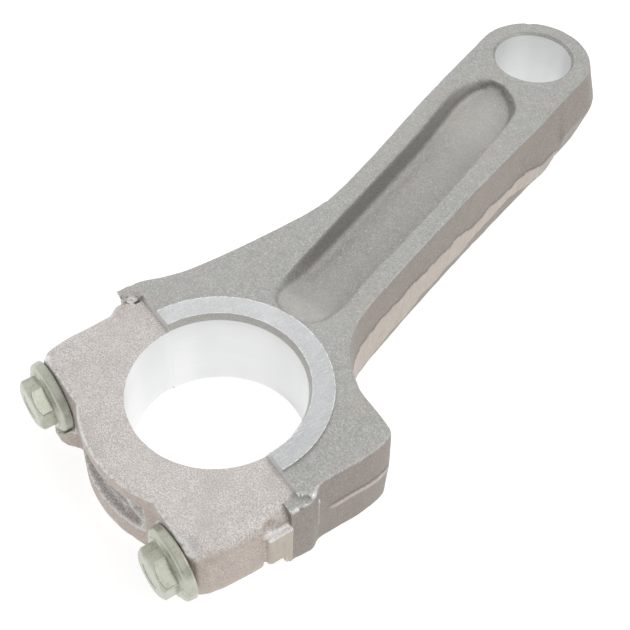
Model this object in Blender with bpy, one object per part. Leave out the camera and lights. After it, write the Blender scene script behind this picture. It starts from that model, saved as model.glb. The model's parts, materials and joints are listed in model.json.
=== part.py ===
"""Angle-split connecting rod with a bolted bearing cap, lying flat.

The crankpin bore and the piston-pin bore run along Z and the rod runs along Y, small end at +Y.
Shapes are drawn in millimetres with the crankpin centre at the origin and the middle of the
thickness at z = 0, then moved so that the whole rod is centred on X and Y and stands on z = 0.
The split frame (u, v) is turned by SPLIT_ANGLE: u runs along the joint face, v towards the shank.
"""
import math

import bmesh
import bpy
from mathutils import Matrix, Vector

MM = 0.001

# driving sizes, millimetres
BORE_X = 1.865           # crankpin centre from the middle of the whole rod
BORE_Y = -53.395
SPLIT_ANGLE = math.radians(20.2)
CENTRES = 128.7          # crankpin centre to piston-pin centre
CRANK_R = 18.0
CRANK_MOUTH_R = 18.55    # as-cast mouth of the bore at the thrust ring
RING_R = 23.15           # machined thrust ring
RING_Z = 10.72
ROD_Z = 10.2             # as-cast faces of the shank and the small end
CAP_Z = 9.04             # faces of the cap
PIN_R = 9.58
PIN_MOUTH_R = 10.25
EYE_R = 14.1             # outside of the small end at its face edges
LAND_OUT = 0.55          # how far the trimmed land stands out of the face edges
LAND_TOP = 1.8
LAND_BOTTOM = -4.2
EDGE = 0.3               # small cast edge radius
GAP = 0.3                # air between touching pieces
LUG_U = (-28.9, 28.1)    # inner faces of the two locating lugs
LUG_V = -3.3             # tip of the right lug; the left one is slanted
CAP_ARC_R = 27.3         # outside of the cap between the bolts
RECESS_R = 25.3          # floor of the recess in that outside
BOLT_U = (-23.28, 22.96)
SEAT_V = (-24.1, -23.0)  # bolt seats, left and right
HOLE_R = 3.8
HOLE_END_V = 17.0
SHANK_R = 3.3
THREAD_R = 3.5
THREAD_PITCH = 1.0
BOLT_LENGTH = 37.0
FLANGE_R = 7.75
HEX_FLATS = 9.1
HEAD_HEIGHT = 6.0

for thing in list(bpy.data.objects):
    bpy.data.objects.remove(thing, do_unlink=True)


def split_to_rod(u, v):
    c, s = math.cos(SPLIT_ANGLE), math.sin(SPLIT_ANGLE)
    return (u * c + v * s, -u * s + v * c)


def material(name, colour, roughness, metallic):
    mat = bpy.data.materials.new(name)
    mat.use_nodes = True
    shader = mat.node_tree.nodes["Principled BSDF"]
    shader.inputs["Base Color"].default_value = (*colour, 1.0)
    shader.inputs["Roughness"].default_value = roughness
    shader.inputs["Metallic"].default_value = metallic
    return mat


def mesh_object(name, bm):
    bmesh.ops.recalc_face_normals(bm, faces=bm.faces[:])
    mesh = bpy.data.meshes.new(name)
    bm.to_mesh(mesh)
    bm.free()
    obj = bpy.data.objects.new(name, mesh)
    bpy.context.scene.collection.objects.link(obj)
    return obj


def loft(name, sections):
    """Closed solid through rings of equal length, the first and last ring capped."""
    bm = bmesh.new()
    rings = [[bm.verts.new(p) for p in ring] for ring in sections]
    for lower, upper in zip(rings, rings[1:]):
        for i in range(len(lower)):
            j = (i + 1) % len(lower)
            bm.faces.new((lower[i], lower[j], upper[j], upper[i]))
    bm.faces.new(rings[0])
    bm.faces.new(rings[-1])
    return mesh_object(name, bm)


def pulled(points, drops):
    """Outline with every edge i, from point i to point i + 1, pulled inwards by drops[i]."""
    count = len(points)
    lines = []
    for i in range(count):
        a = Vector(points[i])
        b = Vector(points[(i + 1) % count])
        along = (b - a).normalized()
        outward = Vector((along.y, -along.x))
        lines.append((a - outward * drops[i], along, outward))
    result = []
    for i in range(count):
        before, here = lines[i - 1], lines[i]
        cross = before[1].x * here[1].y - before[1].y * here[1].x
        if abs(cross) < 0.08:
            drop = (drops[i - 1] + drops[i]) / 2
            normal = (before[2] + here[2]).normalized()
            result.append(tuple(Vector(points[i]) - normal * drop))
        else:
            gap = here[0] - before[0]
            t = (gap.x * here[1].y - gap.y * here[1].x) / cross
            result.append(tuple(before[0] + before[1] * t))
    return result


def prism(name, points, low, high):
    return loft(name, [[(x, y, z) for x, y in points] for z in (low, high)])


def turned(name, profile, segments, start=(0.0, 0.0)):
    """Solid of revolution about Z through start; profile is (radius, z) from bottom to top."""
    sections = []
    for radius, z in profile:
        ring = []
        for k in range(segments):
            a = 2 * math.pi * k / segments
            ring.append((start[0] + radius * math.cos(a), start[1] + radius * math.sin(a), z))
        sections.append(ring)
    return loft(name, sections)


def combine(target, tool, operation):
    tool.hide_render = True
    tool.display_type = "WIRE"
    mod = target.modifiers.new("combine", "BOOLEAN")
    mod.operation = operation
    mod.solver = "EXACT"
    mod.object = tool
    graph = bpy.context.evaluated_depsgraph_get()
    result = bpy.data.meshes.new_from_object(target.evaluated_get(graph))
    target.modifiers.clear()
    target.data = result
    bpy.data.objects.remove(tool, do_unlink=True)


def cut(target, tool):
    combine(target, tool, "DIFFERENCE")


def join(target, tool):
    combine(target, tool, "UNION")


def arc(centre, radius, start, stop, count):
    points = []
    for k in range(count + 1):
        a = math.radians(start + (stop - start) * k / count)
        points.append((centre[0] + radius * math.cos(a), centre[1] + radius * math.sin(a)))
    return points


# ---------------------------------------------------------------- rod half
def rod_outline():
    """Face edge of the rod half, counter-clockwise, closed across the tips of the lugs."""
    right_boss = [(30.2, LUG_V), (30.75, -2.6), (30.8, 1.6),
                  (30.2, 2.8), (29.35, 3.7), (29.2, 5.0), (29.25, 14.0), (28.9, 18.0),
                  (28.3, 20.6), (27.6, 22.1)]
    left_boss = [(-29.7, 18.5), (-29.9, 13.0), (-30.4, 9.4), (-31.3, 5.4), (-32.3, 2.9),
                 (-32.8, 1.2), (-33.0, -1.5), (-32.9, -3.8), (-31.3, -3.8), (-28.6, -2.9)]
    right_shank = [(32.6, 12.1), (29.0, 13.7), (25.0, 15.25), (22.4, 16.5), (19.5, 18.9),
                   (17.2, 21.3), (15.4, 23.8), (14.1, 26.4), (13.2, 29.0), (12.7, 31.8),
                   (12.45, 36.0), (12.4, 50.0), (12.6, 70.0), (13.0, 82.0), (13.4, 92.0),
                   (13.8, 102.0), (14.0, 112.0), (14.1, 122.0)]
    left_shank = [(-14.1, 122.0), (-14.0, 111.0), (-13.8, 101.0), (-13.4, 91.0), (-12.8, 81.0),
                  (-12.4, 72.0), (-12.2, 63.0), (-12.35, 57.5), (-12.9, 53.5), (-14.3, 48.1),
                  (-16.1, 42.6), (-18.4, 35.8), (-20.2, 30.8)]
    points = [split_to_rod(u, v) for u, v in right_boss]
    points += right_shank
    points += arc((0.0, CENTRES), EYE_R, 0, 180, 40)
    points += left_shank
    points += [split_to_rod(u, v) for u, v in left_boss]
    return points


def rod_blank():
    points = rod_outline()
    levels = ((-ROD_Z, EDGE), (-ROD_Z + EDGE, 0.0), (LAND_BOTTOM, -LAND_OUT),
              (LAND_TOP, -LAND_OUT), (ROD_Z - EDGE, 0.0), (ROD_Z, EDGE))
    sections = []
    for z, drop in levels:
        drops = [drop] * (len(points) - 3) + [0.0] * 3
        sections.append([(x, y, z) for x, y in pulled(points, drops)])
    return loft("rod_body", sections)


def pocket(side):
    """Long recess of the shank: rows of y, left edge, right edge, left foot, right foot, floor."""
    rows = ((23.0, 0.2, 3.6, 1.0, 3.0, 9.7), (23.6, -1.9, 4.6, -1.0, 3.8, 9.4),
            (24.5, -3.9, 5.5, -3.0, 4.7, 9.2), (25.6, -5.2, 6.6, -4.3, 5.7, 9.1),
            (27.3, -6.2, 7.6, -5.3, 6.7, 8.9), (30.0, -6.7, 8.0, -5.8, 7.0, 8.6),
            (33.0, -6.8, 8.1, -6.1, 7.2, 6.9),
            (36.0, -6.9, 7.9, -6.3, 7.1, 5.2), (39.0, -7.0, 7.8, -6.4, 7.1, 4.75),
            (52.0, -7.4, 7.9, -6.6, 7.2, 4.7), (75.0, -7.9, 8.0, -6.9, 7.2, 4.7),
            (91.0, -8.6, 7.7, -7.0, 6.9, 4.75), (95.0, -8.9, 7.5, -7.0, 6.7, 5.4),
            (99.0, -9.2, 7.4, -7.2, 6.6, 6.4), (103.0, -9.6, 7.3, -7.4, 6.4, 7.3),
            (106.5, -9.4, 6.9, -7.2, 5.8, 8.0), (109.5, -8.6, 5.7, -6.5, 4.6, 8.4),
            (111.8, -7.3, 3.8, -5.2, 2.6, 8.7), (113.4, -5.3, 1.6, -3.4, 0.2, 9.0),
            (114.2, -3.2, -0.6, -2.4, -1.2, 9.6))
    sections = []
    for y, left, right, left_foot, right_foot, floor in rows:
        top = 11.4
        grow = (top - ROD_Z) / (ROD_Z - floor)
        ring = [(left + (left - left_foot) * grow, top), (left_foot, floor + 0.35),
                (left_foot + 0.9, floor), (right_foot - 0.9, floor), (right_foot, floor + 0.35),
                (right + (right - right_foot) * grow, top)]
        if right_foot - left_foot < 1.8:
            middle = (left_foot + right_foot) / 2
            ring[2] = (middle - 0.2, floor)
            ring[3] = (middle + 0.2, floor)
        sections.append([(x, y, side * z) for x, z in ring])
    return loft("pocket", sections)


def make_rod():
    rod = rod_blank()
    for side in (1, -1):
        cut(rod, pocket(side))
    half_ring = arc((0.0, 0.0), RING_R, -24.0, 163.6, 66)
    join(rod, prism("ring", half_ring, -RING_Z, RING_Z))
    big = [(CRANK_MOUTH_R + 0.35, -RING_Z - 1.0), (CRANK_R, -CAP_Z), (CRANK_R, CAP_Z),
           (CRANK_MOUTH_R + 0.35, RING_Z + 1.0)]
    cut(rod, turned("bore", big, 96))
    pin = [(PIN_MOUTH_R + 0.8, -ROD_Z - 0.8), (PIN_R, -ROD_Z + 0.67), (PIN_R, ROD_Z - 0.67),
           (PIN_MOUTH_R + 0.8, ROD_Z + 0.8)]
    cut(rod, turned("bore", pin, 64, (0.0, CENTRES)))
    joint = [(LUG_U[0], -20.0), (LUG_U[1], -20.0), (LUG_U[1], 0.0), (LUG_U[0], 0.0)]
    cut(rod, prism("joint", [split_to_rod(u, v) for u, v in joint], -12.0, 12.0))
    lug = [split_to_rod(u, v) for u, v in ((27.2, -6.0), (36.0, -6.0), (36.0, 1.1), (27.2, 1.1))]
    cut(rod, prism("lug_top", lug, CAP_Z - 0.04, 12.0))
    cut(rod, prism("lug_top", lug, -12.0, -CAP_Z + 0.04))
    under = [split_to_rod(u, v) for u, v in ((-36.0, -6.0), (-31.5, -6.0), (-31.5, -2.0), (-34.5, 3.0))]
    cut(rod, prism("lug_under", under, -12.0, ROD_Z - 0.9))
    for u in BOLT_U:
        cut(rod, along_split("hole", [(HOLE_R, -6.0), (HOLE_R, HOLE_END_V - 2.0), (0.6, HOLE_END_V)],
                             32, u))
    return rod


def along_split(name, profile, segments, u):
    """Solid of revolution about the bolt axis at u; profile is (radius, v)."""
    obj = turned(name, profile, segments)
    turn = Matrix.Rotation(-math.pi / 2, 4, "X")
    place = Matrix.Rotation(-SPLIT_ANGLE, 4, "Z") @ Matrix.Translation((u, 0.0, 0.0))
    obj.data.transform(place @ turn)
    return obj


# ---------------------------------------------------------------- cap
def cap_outline():
    """Widest outline of the cap in the split frame, counter-clockwise, with edge classes."""
    left_seat, right_seat = SEAT_V
    left_angle = math.degrees(math.asin(left_seat / CAP_ARC_R))
    right_angle = math.degrees(math.asin(right_seat / CAP_ARC_R))
    face = -GAP
    tip = LUG_V - GAP
    inner = LUG_U[1] - GAP
    points = [(inner, face), (LUG_U[0] + GAP, face), (LUG_U[0] + GAP, -3.2)]
    kinds = ["joint", "joint", "joint"]
    side = [(-31.8, -4.3), (-31.8, -6.2), (-30.6, -7.7), (-30.35, -13.0), (-30.1, -18.0),
            (-29.6, -21.3), (-28.9, -23.2)]
    points += side
    kinds += ["tab"] + ["side"] * 6
    points.append((-27.9, left_seat))
    kinds.append("seat")
    bow = arc((0.0, 0.0), CAP_ARC_R, -180 - left_angle, right_angle, 22)
    points += bow
    kinds += ["bow"] * (len(bow) - 1) + ["seat"]
    side = [(27.5, right_seat), (28.7, -22.2), (29.5, -20.2), (30.1, -17.0), (30.3, -13.0),
            (30.5, -9.6), (31.5, -8.5), (31.7, tip)]
    points += side
    kinds += ["side"] * 6 + ["tab", "joint"]
    points.append((inner, tip))
    kinds.append("joint")
    return points, kinds


def make_cap():
    points, kinds = cap_outline()
    rows = ((0.0, {"side": 0.0, "tab": 0.0}), (5.2, {"side": 0.25, "tab": 0.1}),
            (7.0, {"side": 0.75, "tab": 0.55}), (8.2, {"side": 1.55, "tab": 1.6}),
            (8.75, {"side": 2.3, "tab": 2.3, "bow": 0.0, "seat": 0.0}),
            (CAP_Z, {"side": 3.1, "tab": 3.0, "bow": 0.35, "seat": 0.25}))
    levels = [(-z, drops) for z, drops in reversed(rows[1:])] + list(rows)
    sections = []
    for z, drops in levels:
        outline = pulled(points, [drops.get(kind, 0.0) for kind in kinds])
        sections.append([(*split_to_rod(u, v), z) for u, v in outline])
    cap = loft("bearing_cap", sections)
    ear = [(-24.0, -22.0), (-23.6, -24.3), (-22.4, -26.1), (-20.6, -26.8), (-18.4, -26.8),
           (-16.6, -26.1), (-15.0, -24.8), (-12.0, -22.0)]
    ear_solid = prism("ear", [split_to_rod(u, v) for u, v in ear], -CAP_Z + 0.25, -3.4)
    cut(ear_solid, along_split("round", [(FLANGE_R + 0.4, -30.0), (FLANGE_R + 0.4, SEAT_V[0])],
                               48, BOLT_U[0]))
    join(cap, ear_solid)
    cut(cap, recess())
    cut(cap, turned("bore", [(CRANK_R, -12.0), (CRANK_R, 12.0)], 96))
    for u, seat in zip(BOLT_U, SEAT_V):
        cut(cap, along_split("hole", [(HOLE_R, -30.0), (HOLE_R, 3.0)], 32, u))
    return cap


def recess():
    """Crescent recess between the two flanges of the cap's outside, running out to the left."""
    sections = []
    for k in range(23):
        a = -SPLIT_ANGLE + math.radians(-119 + 57 * k / 22)
        rise = 2.2 * max(0.0, 1 - k / 9) ** 2 + 2.2 * max(0.0, (k - 19) / 3)
        floor = RECESS_R + rise
        half = 4.3 + 0.55 * rise
        profile = ((floor, -half), (floor, half), (30.0, 6.9), (30.0, -6.9))
        sections.append([(r * math.cos(a), r * math.sin(a), z) for r, z in profile])
    return loft("recess", sections)


# ---------------------------------------------------------------- bolts
def make_bolt(name, u, seat):
    """Flange bolt; v is measured from the seat, the head on the negative side."""
    profile = [(4.0, -HEAD_HEIGHT + 2.0), (5.35, -HEAD_HEIGHT + 3.3), (5.55, -2.35),
               (FLANGE_R - 0.35, -1.75), (FLANGE_R, -1.5), (FLANGE_R, -GAP - 0.25),
               (FLANGE_R - 0.25, -GAP), (SHANK_R, -GAP), (SHANK_R, BOLT_LENGTH - 18.0)]
    ridge = BOLT_LENGTH - 17.6
    while ridge < BOLT_LENGTH - 0.8:
        profile += [(THREAD_R, ridge + 0.2), (THREAD_R - 0.5, ridge + 0.7)]
        ridge += THREAD_PITCH
    profile += [(2.6, BOLT_LENGTH)]
    bolt = turned(name, profile, 32)
    corners = [(HEX_FLATS / math.sqrt(3) * math.cos(math.radians(60 * k + 30)),
                HEX_FLATS / math.sqrt(3) * math.sin(math.radians(60 * k + 30))) for k in range(6)]
    head = prism("hex", corners, -HEAD_HEIGHT, -1.9)
    crown = turned("crown", [(4.1, -HEAD_HEIGHT), (5.6, -HEAD_HEIGHT + 0.8), (5.6, -1.0)], 48)
    combine(head, crown, "INTERSECT")
    join(bolt, head)
    turn = Matrix.Rotation(-math.pi / 2, 4, "X") @ Matrix.Rotation(math.radians(9), 4, "Z")
    place = Matrix.Rotation(-SPLIT_ANGLE, 4, "Z") @ Matrix.Translation((u, seat, 0.0))
    bolt.data.transform(place @ turn)
    return bolt


def finish(obj, mat, pivot):
    """Scale to metres, put the object's origin on its pivot and shade it."""
    shift = Vector((BORE_X, BORE_Y, RING_Z))
    bm = bmesh.new()
    bm.from_mesh(obj.data)
    bmesh.ops.remove_doubles(bm, verts=bm.verts[:], dist=0.0005)
    bmesh.ops.dissolve_degenerate(bm, dist=0.0005, edges=bm.edges[:])
    bm.to_mesh(obj.data)
    bm.free()
    at = Vector(pivot) + shift
    obj.data.transform(Matrix.Scale(MM, 4) @ Matrix.Translation(shift - at))
    obj.location = at * MM
    obj.data.materials.clear()
    obj.data.materials.append(mat)
    obj.data.shade_smooth()
    obj.data.set_sharp_from_angle(angle=math.radians(32))


cast = material("cast_aluminium", (0.43, 0.43, 0.41), 0.5, 0.85)
blasted = material("blasted_aluminium", (0.58, 0.54, 0.52), 0.55, 0.8)
zinc = material("zinc_plate", (0.52, 0.54, 0.47), 0.38, 0.9)

rod_body = make_rod()
finish(rod_body, cast, (0.0, 0.0, 0.0))
bearing_cap = make_cap()
finish(bearing_cap, blasted, (*split_to_rod(0.0, -GAP), 0.0))
for bolt_name, bolt_u, bolt_seat in (("cap_bolt_left", BOLT_U[0], SEAT_V[0]),
                                     ("cap_bolt_right", BOLT_U[1], SEAT_V[1])):
    cap_bolt = make_bolt(bolt_name, bolt_u, bolt_seat)
    finish(cap_bolt, zinc, (*split_to_rod(bolt_u, bolt_seat), 0.0))
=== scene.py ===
"""Angle-split connecting rod: the detailed visual model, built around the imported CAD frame.

Shapes are made the way the real part is: rough cast bodies with soft edges, a ragged trimmed
parting line and small knocks, then machined by cutting the bores, the joint, the bolt holes and
the thrust ring. They are drawn in millimetres with the crankpin centre at the origin, the shank
along +y and the middle of the thickness at z = 0. The split frame (u, v) has u along the joint
face and v along the bolts, towards the shank.
"""
import json
import math

import bmesh
import bpy
import numpy as np
from mathutils import Matrix, Vector


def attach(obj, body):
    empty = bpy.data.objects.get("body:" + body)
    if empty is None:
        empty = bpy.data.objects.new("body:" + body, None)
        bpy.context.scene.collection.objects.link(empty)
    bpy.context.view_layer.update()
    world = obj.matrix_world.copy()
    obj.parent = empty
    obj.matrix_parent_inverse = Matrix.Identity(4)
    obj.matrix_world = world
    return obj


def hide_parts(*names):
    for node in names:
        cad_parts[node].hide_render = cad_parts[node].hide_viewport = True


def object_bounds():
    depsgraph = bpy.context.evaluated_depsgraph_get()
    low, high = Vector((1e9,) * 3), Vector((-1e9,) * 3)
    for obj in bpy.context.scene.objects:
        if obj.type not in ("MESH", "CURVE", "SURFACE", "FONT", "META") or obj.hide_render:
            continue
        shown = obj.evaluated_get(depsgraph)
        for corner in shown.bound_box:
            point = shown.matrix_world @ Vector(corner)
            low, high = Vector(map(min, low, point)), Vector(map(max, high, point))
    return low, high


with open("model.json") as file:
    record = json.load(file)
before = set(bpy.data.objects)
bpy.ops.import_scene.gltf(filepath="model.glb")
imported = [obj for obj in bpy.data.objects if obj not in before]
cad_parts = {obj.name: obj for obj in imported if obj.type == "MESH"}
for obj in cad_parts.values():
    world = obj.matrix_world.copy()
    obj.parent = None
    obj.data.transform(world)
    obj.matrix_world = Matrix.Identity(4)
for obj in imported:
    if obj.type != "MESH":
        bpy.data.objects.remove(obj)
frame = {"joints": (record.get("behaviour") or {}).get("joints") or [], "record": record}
cad_low, cad_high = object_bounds()

MM = 0.001
record = frame["record"]
bores = {opening["name"]: opening["box_m"] for opening in record["physics"]["openings"]}
crank_box = np.array(bores["crankpin_bore"])
pin_box = np.array(bores["piston_pin_bore"])
crank_xy = crank_box.mean(0)[:2]
ORIGIN = Vector((crank_xy[0], crank_xy[1], (cad_low.z + cad_high.z) / 2))
CENTRES = float(pin_box.mean(0)[1] - crank_xy[1]) / MM
draw_axis = frame["joints"][0]["axis"]
SPLIT_ANGLE = math.atan2(-draw_axis[0], -draw_axis[1])

# sizes and places, millimetres
CRANK_R = 18.0           # crankpin bore
MOUTH_R = 18.6           # its chamfered mouth, inside the thrust ring
RING_R = 23.12
RING_Z = 10.7            # half the thickness over the thrust ring, the rod and the cap
ROD_Z = 10.2
CAP_Z = 9.04
PIN_R = 9.58             # piston-pin bore and the eye around it
EYE_R = 14.3
LAND_Y = (12.0, 60.0, 90.0, 115.0)       # trimmed land: its limits in z along the shank
LAND_TOP = (2.9, 1.2, -0.6, -1.2)
LAND_BOTTOM = (-8.0, -6.2, -4.6, -4.2)
LUG_U = (-28.9, 28.1)    # inner sides of the two locating lugs, and how far down they reach
LUG_V = -3.3
LIP = 0.3                # how far the rod's top edge slopes out over the cap
TAB_TOP = 4.8            # tab on the right side of the cap
TAB_UNDER = -6.6
CAP_ARC_R = 27.3         # outside of the cap, the floor of its recess and the rib across that
RECESS_R = 24.8
RIDGE_R = 26.3
RIDGE_START = (-75.0, 4.4)               # upper end of the rib: bearing in degrees, and z
RIDGE_RUN = (13.0, -9.2)                 # what both change by along the rib
CAP_ROUNDING = {"side": 4.2, "tab": 3.9, "bow": 1.0, "seat": 0.7, "joint": 0.0}
CAP_UNDER_ROUNDING = 0.3                 # of the bow and the seats, on the lower side
CAP_DRAFT = 0.045                        # of the sides, per millimetre of height
BOLT_U = (-23.28, 22.96) # left and right bolt axis, and the seats of their heads
SEAT_V = (-24.1, -23.0)
HOLE_R = 3.8
SHANK_R = 3.3
THREAD_R = 3.5
THREAD_DEPTH = 0.52
THREAD_END_R = 2.75      # radius that the thread runs out to
THREAD_PITCH = 1.0
THREAD_START = 19.4      # measured from the seat, as is the length
BOLT_LENGTH = 37.0
FLANGE_R = 7.75
SPOT_R = FLANGE_R + 0.35 # spot face around the bolt hole
BOLT_GAP = 0.12          # air between the flange and its seat
HEX_FLATS = 9.55
HEX_TURN = (7.0, 11.0)   # degrees, left and right
HEAD_HEIGHT = 5.9
SEAM = 0.015             # visible joint line between the two halves
ROD_VOXEL = 0.435        # grids of the cast bodies
CAP_VOXEL = 0.36
CLEAR_Z = 14.0           # cutters end this high and this far out, well clear of the part
CLEAR_U = 38.0
BORE_SIDES = 160

# stage
FLOOR_HALF = 30.0        # metres
WORLD_BRIGHT = 0.8       # studio light overhead and behind the part
WORLD_DIM = 0.37         # and towards the front right
LAMPS = (("key", (-0.45, 0.5, 0.7), 0.35, 0.8),      # name, place and size in metres, watts
         ("right_fill", (0.66, 0.12, 0.62), 0.6, 2.2),
         ("left_fill", (-0.8, -0.1, 0.4), 0.3, 0.25))


# -------- small geometry kit
def split_to_rod(u, v):
    c, s = math.cos(SPLIT_ANGLE), math.sin(SPLIT_ANGLE)
    return (u * c + v * s, -u * s + v * c)


def rod_to_split(x, y):
    c, s = math.cos(SPLIT_ANGLE), math.sin(SPLIT_ANGLE)
    return (x * c - y * s, x * s + y * c)


def mesh_object(name, bm):
    bmesh.ops.recalc_face_normals(bm, faces=bm.faces[:])
    mesh = bpy.data.meshes.new(name)
    bm.to_mesh(mesh)
    bm.free()
    obj = bpy.data.objects.new(name, mesh)
    bpy.context.scene.collection.objects.link(obj)
    return obj


def loft(name, sections):
    """Closed solid through rings of equal length, the first and last ring capped."""
    bm = bmesh.new()
    rings = [[bm.verts.new(p) for p in ring] for ring in sections]
    for lower, upper in zip(rings, rings[1:]):
        for i in range(len(lower)):
            j = (i + 1) % len(lower)
            bm.faces.new((lower[i], lower[j], upper[j], upper[i]))
    bm.faces.new(rings[0])
    bm.faces.new(rings[-1])
    return mesh_object(name, bm)


def prism(name, points, low, high):
    return loft(name, [[(x, y, z) for x, y in points] for z in (low, high)])


def turned(name, profile, segments, start=(0.0, 0.0)):
    """Solid of revolution about Z through start; profile is (radius, z) from bottom to top."""
    turns = [2 * math.pi * k / segments for k in range(segments)]
    return loft(name, [[(start[0] + radius * math.cos(a), start[1] + radius * math.sin(a), z)
                        for a in turns] for radius, z in profile])


def apply_modifiers(obj):
    """Replace the mesh by what its modifiers make of it."""
    graph = bpy.context.evaluated_depsgraph_get()
    result = bpy.data.meshes.new_from_object(obj.evaluated_get(graph))
    obj.modifiers.clear()
    obj.data = result


def combine(target, tool, operation):
    mod = target.modifiers.new("combine", "BOOLEAN")
    mod.operation = operation
    mod.solver = "MANIFOLD"
    mod.object = tool
    apply_modifiers(target)
    bpy.data.objects.remove(tool, do_unlink=True)


def cut(target, tool):
    combine(target, tool, "DIFFERENCE")


def join(target, tool):
    combine(target, tool, "UNION")


def arc(centre, radius, start, stop, count):
    points = []
    for k in range(count + 1):
        a = math.radians(start + (stop - start) * k / count)
        points.append((centre[0] + radius * math.cos(a), centre[1] + radius * math.sin(a)))
    return points


def pulled(points, drops):
    """Outline with every edge i, from point i to point i + 1, pulled inwards by drops[i]."""
    count = len(points)
    lines = []
    for i in range(count):
        a = Vector(points[i])
        b = Vector(points[(i + 1) % count])
        along = (b - a).normalized()
        outward = Vector((along.y, -along.x))
        lines.append((a - outward * drops[i], along, outward))
    result = []
    for i in range(count):
        before, here = lines[i - 1], lines[i]
        cross = before[1].x * here[1].y - before[1].y * here[1].x
        if abs(cross) < 0.08:
            drop = (drops[i - 1] + drops[i]) / 2
            normal = (before[2] + here[2]).normalized()
            result.append(tuple(Vector(points[i]) - normal * drop))
        else:
            gap = here[0] - before[0]
            t = (gap.x * here[1].y - gap.y * here[1].x) / cross
            result.append(tuple(before[0] + before[1] * t))
    return result


def along_split(obj, u, v=0.0):
    """Turn an object drawn about Z so that it lies on the bolt axis at u, pointing to the shank."""
    turn = Matrix.Rotation(-math.pi / 2, 4, "X")
    place = Matrix.Rotation(-SPLIT_ANGLE, 4, "Z") @ Matrix.Translation((u, v, 0.0))
    obj.data.transform(place @ turn)
    return obj


def in_split(name, points, low, high):
    """Upright prism whose outline is given in the split frame."""
    return prism(name, [split_to_rod(u, v) for u, v in points], low, high)


# -------- casting: voxels, knocks, grain
def read(items, key):
    """One vector for each item, as rows of an array."""
    values = np.empty(len(items) * 3, np.float32)
    items.foreach_get(key, values)
    return values.reshape(-1, 3)


def vertices(mesh):
    return read(mesh.vertices, "co").astype(float)


def set_vertices(mesh, co):
    mesh.vertices.foreach_set("co", co.astype(np.float32).ravel())
    mesh.update()


def normals(mesh):
    return read(mesh.vertex_normals, "vector").astype(float)


def neighbour_mean(mesh, values):
    """Mean of each vertex's neighbours, column by column."""
    count = len(mesh.vertices)
    ends = np.empty(len(mesh.edges) * 2, np.int32)
    mesh.edges.foreach_get("vertices", ends)
    a, b = ends.reshape(-1, 2).T
    degree = np.maximum(np.bincount(ends, minlength=count), 1)
    columns = [np.bincount(a, values[b, k], count) + np.bincount(b, values[a, k], count)
               for k in range(values.shape[1])]
    return np.stack(columns, 1) / degree[:, None]


def soften(mesh, rounds):
    co = vertices(mesh)
    for _ in range(rounds):
        co += 0.5 * (neighbour_mean(mesh, co) - co)
    set_vertices(mesh, co)


def field(points, size, seed, count=26):
    """Smooth random field of about unit height whose bumps lie about size apart."""
    rng = np.random.default_rng(seed)
    direction = rng.normal(size=(count, 3))
    direction /= np.linalg.norm(direction, axis=1)[:, None]
    number = 2 * math.pi / size * rng.uniform(0.7, 1.4, count)
    phase = rng.uniform(0, 2 * math.pi, count)
    wave = np.sin(points @ (direction * number[:, None]).T + phase)
    return wave.sum(1) / math.sqrt(count / 2)


def convexity(mesh, voxel, rounds=2):
    """How far each vertex stands out of its neighbours, in units of the voxel size."""
    co = vertices(mesh)
    out = ((co - neighbour_mean(mesh, co)) * normals(mesh)).sum(1) / voxel
    for _ in range(rounds):
        out = 0.5 * out + 0.5 * neighbour_mean(mesh, out[:, None])[:, 0]
    return out


def cast_skin(obj, voxel, seed, knocks, swell=0.018):
    """Voxel body with cast edges, a slightly uneven skin and knocks along its edges."""
    mod = obj.modifiers.new("voxels", "REMESH")
    mod.mode = "VOXEL"
    mod.voxel_size = voxel
    apply_modifiers(obj)
    mesh = obj.data
    soften(mesh, 2)
    co, out = vertices(mesh), normals(mesh)
    rise = swell * field(co, 7.0, seed) + 0.5 * swell * field(co, 2.4, seed + 1)
    ridge = convexity(mesh, voxel)
    edge_points = np.flatnonzero(ridge > 0.09)
    rng = np.random.default_rng(seed + 2)
    for centre in co[rng.choice(edge_points, knocks)]:
        radius = rng.uniform(0.4, 1.2)
        depth = rng.uniform(0.05, 0.2)
        distance = np.linalg.norm(co - centre, axis=1) / radius
        near = distance < 1
        rise[near] -= depth * (1 - distance[near] ** 2) ** 2
    set_vertices(mesh, co + out * rise[:, None])


def dent(mesh, where, radius, depth):
    """Push one shallow hollow into the skin."""
    co, out = vertices(mesh), normals(mesh)
    distance = np.linalg.norm(co - np.array(where), axis=1) / radius
    fall = np.where(distance < 1, (1 - distance ** 2) ** 2, 0.0)
    set_vertices(mesh, co - depth * out * fall[:, None])


def add_mask(mesh, name, values):
    """Store a 0 to 1 value on every vertex, for a material to read."""
    layer = mesh.attributes.new(name, "FLOAT", "POINT")
    layer.data.foreach_set("value", np.clip(values, 0.0, 1.0).astype(np.float32))


def step(values, low, high):
    """Smooth step from 0 at low to 1 at high."""
    t = np.clip((values - low) / (high - low), 0.0, 1.0)
    return t * t * (3 - 2 * t)


def paint(obj, materials, rules):
    """Give each face the material of the last rule that holds for its centre and normal."""
    mesh = obj.data
    mesh.materials.clear()
    for mat in materials:
        mesh.materials.append(mat)
    centre, facing = read(mesh.polygons, "center"), read(mesh.polygons, "normal")
    slots = np.zeros(len(mesh.polygons), np.int32)
    for slot, rule in rules:
        slots[rule(centre, facing)] = slot
    mesh.polygons.foreach_set("material_index", slots)


def from_axis(centre, facing):
    """Distance of each face from the crankpin axis, and how squarely it looks at the axis."""
    reach = np.hypot(centre[:, 0], centre[:, 1])
    return reach, -(centre[:, 0] * facing[:, 0] + centre[:, 1] * facing[:, 1]) / reach


def in_split_frame(centre, facing):
    """Place (u, v) of each face, and the v part of its normal."""
    u, v = rod_to_split(centre[:, 0], centre[:, 1])
    return u, v, rod_to_split(facing[:, 0], facing[:, 1])[1]


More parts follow.
